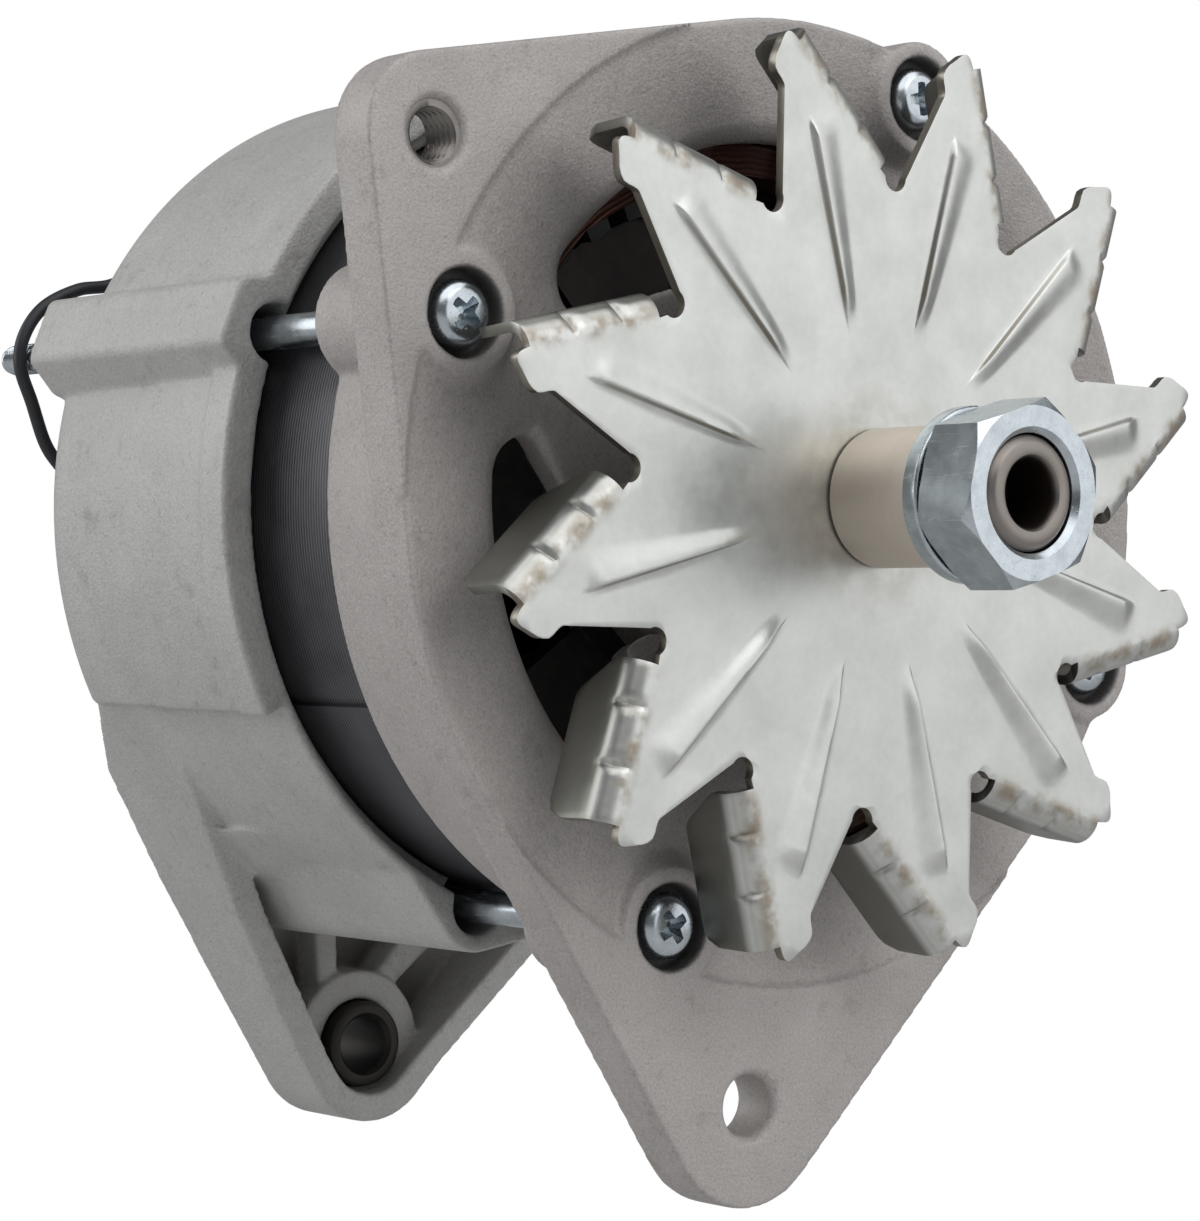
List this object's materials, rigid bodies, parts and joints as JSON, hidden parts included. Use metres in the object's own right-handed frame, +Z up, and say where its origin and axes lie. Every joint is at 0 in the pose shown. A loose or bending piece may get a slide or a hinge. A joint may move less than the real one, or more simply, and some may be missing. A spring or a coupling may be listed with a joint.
{
  "type": "generator alternator head",
  "caption": "Claw-pole alternator with two die-cast brackets on a bare stator, long clamping bolts, a pivot foot, an adjusting ear and a pressed steel fan.",
  "frame": {"origin": "on the pivot bolt's axis, at the front face of the drive-end bracket's foot", "axes": "+Y along the shaft from the drive end to the slip-ring end, +Z up from the pivot to the shaft, +X to the right seen from the drive end"},
  "size_m": [0.1553, 0.1708, 0.1762],
  "materials": {
    "cast_aluminium_front": "blasted die casting",
    "cast_aluminium_rear": "blasted die casting",
    "stator_laminations": "varnished laminations",
    "varnished_copper": "varnished wire",
    "bright_steel": "turned",
    "blue_zinc": "zinc plated",
    "fan_zinc": "satin zinc plated sheet",
    "sleeve_steel": "satin",
    "bush_steel": "dark phosphated",
    "pole_iron": "forged",
    "black_moulding": "moulded",
    "brush_carbon": "pressed carbon",
    "slip_ring_copper": "turned copper",
    "lead_sleeve": "flexible sleeve"
  },
  "bodies": {
    "housing": {"drive_end_bracket": "cast_aluminium_front", "slip_ring_end_bracket": "cast_aluminium_rear", "stator_core": "stator_laminations", "stator_winding": "varnished_copper", "pivot_bush": "bush_steel", "front_bearing_outer_race": "bright_steel", "rear_bearing_outer_race": "bright_steel", "bearing_retainer": "blue_zinc", "brush_holder": "black_moulding", "brush_spring_inner": "bright_steel", "brush_spring_outer": "bright_steel", "rectifier_positive_plate": "bright_steel", "rectifier_negative_plate": "bright_steel", "output_stud": "bright_steel", "stud_insulator": "black_moulding", "output_stud_nut": "bright_steel", "lead_terminal": "bright_steel", "terminal_nut": "bright_steel", "suppression_capacitor": "bright_steel", "capacitor_screw": "blue_zinc", "capacitor_lead": "lead_sleeve", "through_bolt_1": "blue_zinc", "through_bolt_nut_1": "blue_zinc", "through_bolt_2": "blue_zinc", "through_bolt_nut_2": "blue_zinc", "through_bolt_3": "blue_zinc", "through_bolt_nut_3": "blue_zinc", "through_bolt_4": "blue_zinc", "through_bolt_nut_4": "blue_zinc", "retainer_screw_1": "blue_zinc", "retainer_screw_2": "blue_zinc", "retainer_screw_3": "blue_zinc", "holder_screw_1": "blue_zinc", "holder_screw_2": "blue_zinc", "diode_1": "pole_iron", "diode_2": "pole_iron", "diode_3": "pole_iron", "diode_4": "pole_iron", "diode_5": "pole_iron", "diode_6": "pole_iron"},
    "rotor": {"rotor_shaft": "bright_steel", "claw_pole_front": "pole_iron", "claw_pole_rear": "pole_iron", "coil_bobbin": "black_moulding", "field_coil": "varnished_copper", "slip_ring_insulator": "black_moulding", "slip_ring_inner": "slip_ring_copper", "slip_ring_outer": "slip_ring_copper", "front_bearing_inner_race": "bright_steel", "rear_bearing_inner_race": "bright_steel", "fan_spacer": "bright_steel", "fan": "fan_zinc", "pulley_spacer": "sleeve_steel", "spring_washer": "blue_zinc", "shaft_nut": "blue_zinc"},
    "front_ball_cage": {"front_bearing_ball_cage": "bright_steel"},
    "rear_ball_cage": {"rear_bearing_ball_cage": "bright_steel"},
    "inner_brush": {"brush_inner": "brush_carbon"},
    "outer_brush": {"brush_outer": "brush_carbon"}
  },
  "joints": [
    {"name": "rotor_spin", "type": "hinge", "parent": "housing", "child": "rotor", "pos_m": [0, 0, 0.08845], "axis": [0, 1, 0], "continuous": true},
    {"name": "front_cage_spin", "type": "hinge", "parent": "housing", "child": "front_ball_cage", "pos_m": [0, 0.0125, 0.08845], "axis": [0, 1, 0], "continuous": true},
    {"name": "rear_cage_spin", "type": "hinge", "parent": "housing", "child": "rear_ball_cage", "pos_m": [0, 0.093, 0.08845], "axis": [0, 1, 0], "continuous": true},
    {"name": "inner_brush_slide", "type": "slide", "parent": "housing", "child": "inner_brush", "axis": [0, 0, 1], "range_m": [0, 0.004], "stiffness_N_per_m": 300, "springref_m": -0.008, "deforming": ["brush_spring_inner"]},
    {"name": "outer_brush_slide", "type": "slide", "parent": "housing", "child": "outer_brush", "axis": [0, 0, 1], "range_m": [0, 0.004], "stiffness_N_per_m": 300, "springref_m": -0.008, "deforming": ["brush_spring_outer"]}
  ],
  "couplings": [
    {"joint": "front_cage_spin", "follows": "rotor_spin", "ratio": 0.412},
    {"joint": "rear_cage_spin", "follows": "rotor_spin", "ratio": 0.409}
  ]
}
